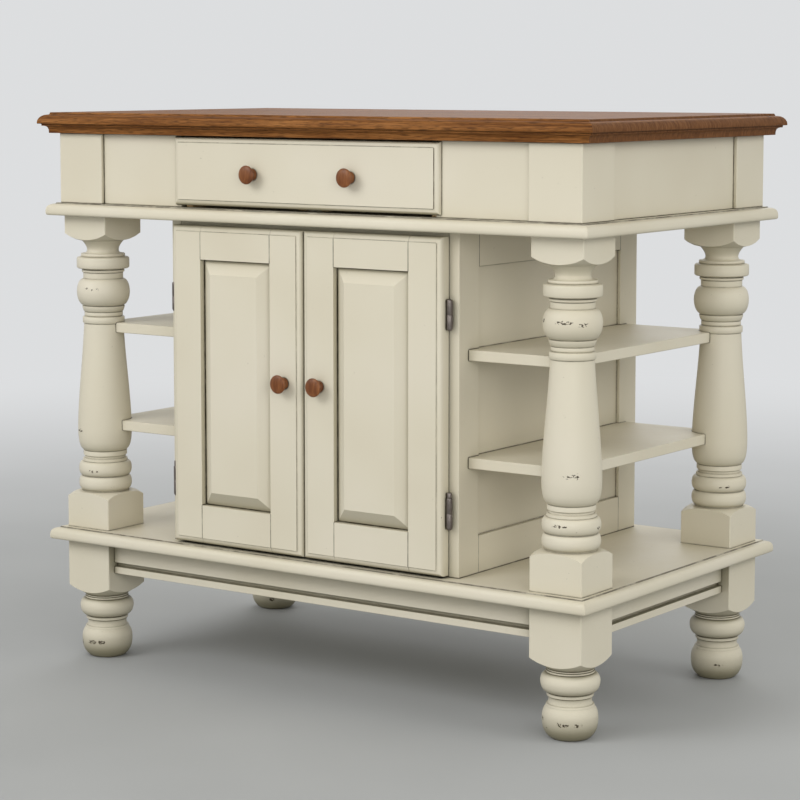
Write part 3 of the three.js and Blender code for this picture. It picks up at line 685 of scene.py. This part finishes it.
# Where the turning domes out to the square blocks
LOWER_SHOULDER = [(281.9, 38.0), (281.2, 45.0), (277.9, 54.5), (272.4, 63.4)]
UPPER_SHOULDER = [(701.8, 34.6), (704.2, 44.9), (708.6, 54.4), (714.7, 63.4)]
FOOT_TURNING = [
    *curve(
        [
            (0, 28.8),
            (2.4, 32.0),
            (7.0, 36.2),
            (14.0, 39.8),
            (22.0, 41.6),
            (30.6, 42.0),
            (37.0, 41.5),
            (43.0, 39.7),
            (47.6, 37.0),
        ],
        3,
    ),
    (48.2, 36.3),
    (51.0, 35.9),
    (51.8, 35.4),
    (52.2, 33.9),
    *curve([(52.6, 33.3), (54.6, 32.5), (57.4, 32.2), (60.2, 32.4), (62.1, 33.0)], 2),
    (62.6, 31.6),
    (63.1, 34.2),
    (63.9, 34.9),
    (67.7, 34.9),
    (68.5, 34.2),
    (68.9, 32.2),
    (69.4, 34.8),
    *curve(
        [
            (69.9, 36.6),
            (72.2, 40.0),
            (76.5, 42.8),
            (82.0, 44.3),
            (88.0, 44.6),
            (93.5, 42.9),
            (97.2, 39.8),
            (98.6, 37.2),
        ],
        3,
    ),
    (99.1, 34.6),
    (99.7, 36.4),
    (102.0, 36.4),
    (102.6, 34.2),
    (103.2, 35.4),
    (104.8, 35.4),
    (105.3, 33.9),
    (105.6, 34.7),
]
FOOT_SHOULDER = [(105.6, 34.7), (112.0, 44.9), (116.8, 54.6), (122.4, 63.4)]

# Notches for the open shelves' corners, from the post's middle, cut out past its inner corner
SHELF_LEVELS = (549.5, 386.0)
SHELF_THICK = 16.5
NOTCH_AIR = 0.3
NOTCH_X = 455.6 - POST_X
NOTCH_Y = 236.6 - POST_Y
NOTCH_PAST = 60

# Chipped places seen on the near sides: (direction, level, half angle, half height)
POST_CHIPS = {
    "front_left": [
        (-88, 623, 6, 3.2),
        (-74, 622, 4, 2),
        (-60, 623, 5, 2.6),
        (-116, 386, 22, 4),
        (-74, 317, 17, 3.5),
        (-140, 315, 8, 3),
    ],
    "front_right": [
        (-76, 620, 22, 4.2),
        (-38, 617, 14, 4),
        (-134, 621, 7, 4.5),
        (-59, 397, 20, 5),
        (-84, 322, 24, 4),
        (7, 317, 10, 4),
    ],
    "back_right": [(-50, 318, 14, 3)],
    "back_left": [(-80, 600, 12, 3)],
}
FOOT_CHIPS = {
    "front_left": [(-86, 27, 16, 5.5), (-62, 28, 12, 5), (-125, 24, 6, 7)],
    "front_right": [(-74, 27, 17, 4.5), (-42, 27, 14, 3.5), (-132, 30, 6, 6), (-113, 18, 6, 4)],
    "back_right": [(-60, 26, 12, 4)],
    "back_left": [(-60, 20, 12, 4)],
}

angles = octant_angles(HALF, ARRIS, SIDE_STEPS)
for corner, sx, sy in (
    ("front_left", -1, -1),
    ("front_right", 1, -1),
    ("back_left", -1, 1),
    ("back_right", 1, 1),
):
    place = (POST_X * sx, POST_Y * sy, 0)
    lower = block_rings(LOWER_SHOULDER, POST_BOTTOM, angles, HALF, ARRIS)[::-1]
    upper = block_rings(UPPER_SHOULDER, POST_TOP, angles, HALF, ARRIS)
    post = sweep(lower + turned_rings(TURNING[1:-1], angles) + upper)
    x_from, x_to = sorted((NOTCH_X * sx, -NOTCH_PAST * sx))
    y_from, y_to = sorted((NOTCH_Y * sy, -NOTCH_PAST * sy))
    notches = [
        ((x_from, y_from, z - NOTCH_AIR), (x_to, y_to, z + SHELF_THICK + NOTCH_AIR))
        for z in SHELF_LEVELS
    ]
    post = carve(post, notches)
    mark_chips(post, POST_CHIPS[corner])
    add_piece("turned_post_" + corner, post, place, "carcass", "cream_paint", ["post_" + corner])
    dome = block_rings(FOOT_SHOULDER, FOOT_TOP, angles, HALF, ARRIS)
    foot = sweep(turned_rings(FOOT_TURNING[:-1], angles) + dome)
    mark_chips(foot, FOOT_CHIPS[corner])
    add_piece("turned_foot_" + corner, foot, place, "carcass", "cream_paint", ["foot_" + corner])

# Knobs, turned round Z and then laid over to face -Y: (height over the front, radius)
KNOB = [
    (-12, 4.0),
    (0.3, 4.0),
    (0.3, 8.8),
    *curve(
        [
            (0.5, 9.1),
            (1.5, 9.2),
            (2.4, 8.9),
            (3.8, 8.1),
            (5.6, 7.7),
            (7.4, 7.8),
            (9.2, 9.2),
            (11.4, 11.4),
            (13.2, 13.2),
        ],
        3,
    ),
    *curve(
        [
            (14.4, 14.1),
            (15.5, 14.6),
            (16.4, 14.6),
            (17.4, 13.6),
            (18.4, 11.4),
            (19.2, 8.2),
            (19.6, 4.8),
            (19.8, 0.6),
        ],
        3,
    ),
]
KNOB_SIDES = 48
FRONT_Y = -284  # face of the doors and of the drawer front
# (x, z, body)
KNOBS = {
    "drawer_knob_left": (-94.7, 821.3, "drawer"),
    "drawer_knob_right": (94.7, 821.3, "drawer"),
    "door_left_knob": (-34.4, 497.3, "door_left"),
    "door_right_knob": (34.4, 497.3, "door_right"),
}
for name, (x, z, body) in KNOBS.items():
    knob = sweep(turned_rings(KNOB, circle_angles(KNOB_SIDES)))
    knob.transform(Matrix.Rotation(math.radians(90), 4, "X"))
    add_piece("turned_" + name, knob, (x, FRONT_Y, z), body, "knob_wood", [name], smooth=50)


# ---------------------------------------------------------------- hinges
def joined(meshes):
    """One mesh from several closed ones."""
    whole = bmesh.new()
    for mesh in meshes:
        whole.from_mesh(mesh)
    return as_mesh("joined", whole)


PLATE_EASE = 0.25


def plate(low, high):
    """A small plate with eased edges."""
    work = block(low, high)
    bmesh.ops.bevel(work, geom=work.edges[:], offset=PLATE_EASE * MM, segments=2, affect="EDGES")
    return as_mesh("plate", work)


# Hinges in mm, as on the right door
HINGE_X, HINGE_Y = 267.5, -269.0  # axis
BARREL = 4.7  # radius
BARREL_SIDES = 32
WEB = (262.8, 264.0)  # x of the strip by which a leaf reaches its barrel
LEAF_FROM = 247  # x of the leaves' inner edges
FRAME_LEAF_TO, DOOR_LEAF_TO = 261, 262
FRAME_LEAF = (-261.9, -260.7)  # y of the front and back of the leaf on the face frame
DOOR_LEAF = (-264.3, -263.1)  # and of the leaf on the door
# Lower end, seam and upper end of the barrel, and the top of the pin's head where one shows
HINGES = {"upper": (596.6, 620.5, 643.5, None), "lower": (295.3, 320.4, 344.5, 352.6)}


def barrel(profile):
    """Half a barrel on the hinge's axis."""
    mesh = sweep(turned_rings(profile, circle_angles(BARREL_SIDES)))
    mesh.transform(Matrix.Translation((HINGE_X * MM, HINGE_Y * MM, 0)))
    return mesh


for level, (low, seam, high, pin) in HINGES.items():
    tip = [(low, 1.8), (low + 0.5, 2.8), (low + 1.6, 3.7), (low + 3.0, 4.4), (low + 4.2, BARREL)]
    still = joined(
        [
            barrel([*tip, (seam - 0.5, BARREL), (seam - 0.1, 4.5)]),
            plate((LEAF_FROM, FRAME_LEAF[0], low), (FRAME_LEAF_TO, FRAME_LEAF[1], high)),
            plate((LEAF_FROM, FRAME_LEAF[0], low), (WEB[1], FRAME_LEAF[1], seam - 0.1)),
            plate((WEB[0], HINGE_Y, low + 3), (WEB[1], FRAME_LEAF[1], seam - 0.1)),
        ]
    )
    head = [(high - 2.0, BARREL), (high - 1.2, 4.55), (high - 0.5, 4.2), (high, 3.7)]
    if pin:
        head += [(high + 0.3, 3.2), (high + 0.8, 3.8), (pin - 0.9, 3.8), (pin - 0.3, 3.4), (pin, 2.6)]
    moving = joined(
        [
            barrel([(seam + 0.1, 4.5), (seam + 0.5, BARREL), *head]),
            plate((LEAF_FROM, DOOR_LEAF[0], low), (DOOR_LEAF_TO, DOOR_LEAF[1], high)),
            plate((LEAF_FROM, DOOR_LEAF[0], seam + 0.1), (WEB[1], DOOR_LEAF[1], high)),
            plate((WEB[0], HINGE_Y, seam + 0.1), (WEB[1], DOOR_LEAF[1], high - 1)),
        ]
    )
    for side in ("left", "right"):
        for kind, mesh, body in (("frame_leaf", still, "carcass"), ("door_leaf", moving, "door_" + side)):
            shaped = mesh.copy()
            if side == "left":
                shaped.transform(Matrix.Scale(-1, 4, (1, 0, 0)))
                shaped.flip_normals()
            name = f"hinge_{side}_{level}_{kind}"
            add_piece("butt_" + name, shaped, (0, 0, 0), body, "pewter_hinge", [name], smooth=40)


# ---------------------------------------------------------------- stage and light
SEEN = (0.72, 0.73, 0.74, 1)  # what the camera sees behind the object
AMBIENT = (0.60, 0.595, 0.55, 1)  # what lights it from all round
FLOOR_HALF = 40  # metres
FLOOR_Z = -0.0005  # metres, just clear of the feet
FADE_REACH = 5.0  # metres


def pale_floor():
    """A floor that takes the object's shadow and fades into the background further out."""
    mesh = bpy.data.meshes.new("floor")
    corners = [(x * FLOOR_HALF, y * FLOOR_HALF, FLOOR_Z) for x, y in ((-1, -1), (1, -1), (1, 1), (-1, 1))]
    mesh.from_pydata(corners, [], [(0, 1, 2, 3)])
    n = Nodes("floor")
    speck = n.noise(n.coords, 2.0, 2.0)
    shade = n.ramp(speck, (0.3, srgb(176, 178, 181)), (0.7, srgb(182, 184, 187)))
    near = n.finish(Base_Color=shade, Roughness=0.8, Specular_IOR_Level=0.2)
    from_middle = n.add("ShaderNodeVectorMath", {0: n.coords}, out=1, operation="LENGTH")
    far = n.math("DIVIDE", from_middle, FADE_REACH)
    fade = n.ramp(far, (0.16, 0.0), (0.8, 1.0), interpolation="EASE")
    camera_ray = n.add("ShaderNodeLightPath", out=0)
    glow = n.add("ShaderNodeEmission", {"Color": SEEN, "Strength": 1.0})
    both = {0: n.math("MULTIPLY", fade, camera_ray), 1: n.shader.outputs[0], 2: glow}
    surface = n.tree.nodes["Material Output"].inputs["Surface"]
    n.tree.links.new(n.add("ShaderNodeMixShader", both), surface)
    mesh.materials.append(near)
    stage = put("floor", mesh)


pale_floor()


def soft_light(name, place, aim, size, power, colour=(1, 1, 1), spread=180):
    """A soft lamp: place, aim and size in metres, power in watts, spread in degrees."""
    lamp = bpy.data.lights.new(name, "AREA")
    lamp.shape = "RECTANGLE"
    lamp.size, lamp.size_y = size
    lamp.energy = power
    lamp.spread = math.radians(spread)
    lamp.color = colour
    holder = put(name, lamp)
    holder.location = place
    holder.rotation_euler = (Vector(aim) - Vector(place)).to_track_quat("-Z", "Y").to_euler()


soft_light("key", (-1.4, -3.0, 2.6), (0, 0, 1.4), (2.2, 1.8), 21.5, (1.0, 0.995, 0.975), 110)
soft_light("fill", (2.9, -2.7, 1.5), (0, 0, 0.9), (2.4, 1.6), 16.5, (1.0, 0.995, 0.95), 120)
soft_light("front", (0.9, -4.2, 0.95), (0, 0, 1.0), (2.0, 0.5), 4, (1.0, 0.995, 0.97), 120)
soft_light("side", (3.2, 0.3, 2.0), (0.4, 0, 0.4), (1.8, 1.4), 15, (1.0, 0.995, 0.95))
soft_light("back", (-1.5, 3.2, 2.6), (0, 0, 0.5), (2.4, 2.0), 26)

world = bpy.data.worlds.new("studio")
bpy.context.scene.world = world
world.use_nodes = True
tree = world.node_tree
ray = tree.nodes.new("ShaderNodeLightPath").outputs


def either(a, b):
    """1 where one of two outputs of the world's tree is 1."""
    node = tree.nodes.new("ShaderNodeMath")
    node.operation = "MAXIMUM"
    tree.links.new(a, node.inputs[0])
    tree.links.new(b, node.inputs[1])
    return node.outputs[0]


choose = tree.nodes.new("ShaderNodeMix")
choose.data_type = "RGBA"
choose.inputs[6].default_value = AMBIENT
choose.inputs[7].default_value = SEEN
looks = either(either(ray["Is Camera Ray"], ray["Is Glossy Ray"]), ray["Is Transmission Ray"])
tree.links.new(looks, choose.inputs[0])
tree.links.new(choose.outputs[2], tree.nodes["Background"].inputs["Color"])

bpy.context.scene.view_settings.view_transform = "Standard"
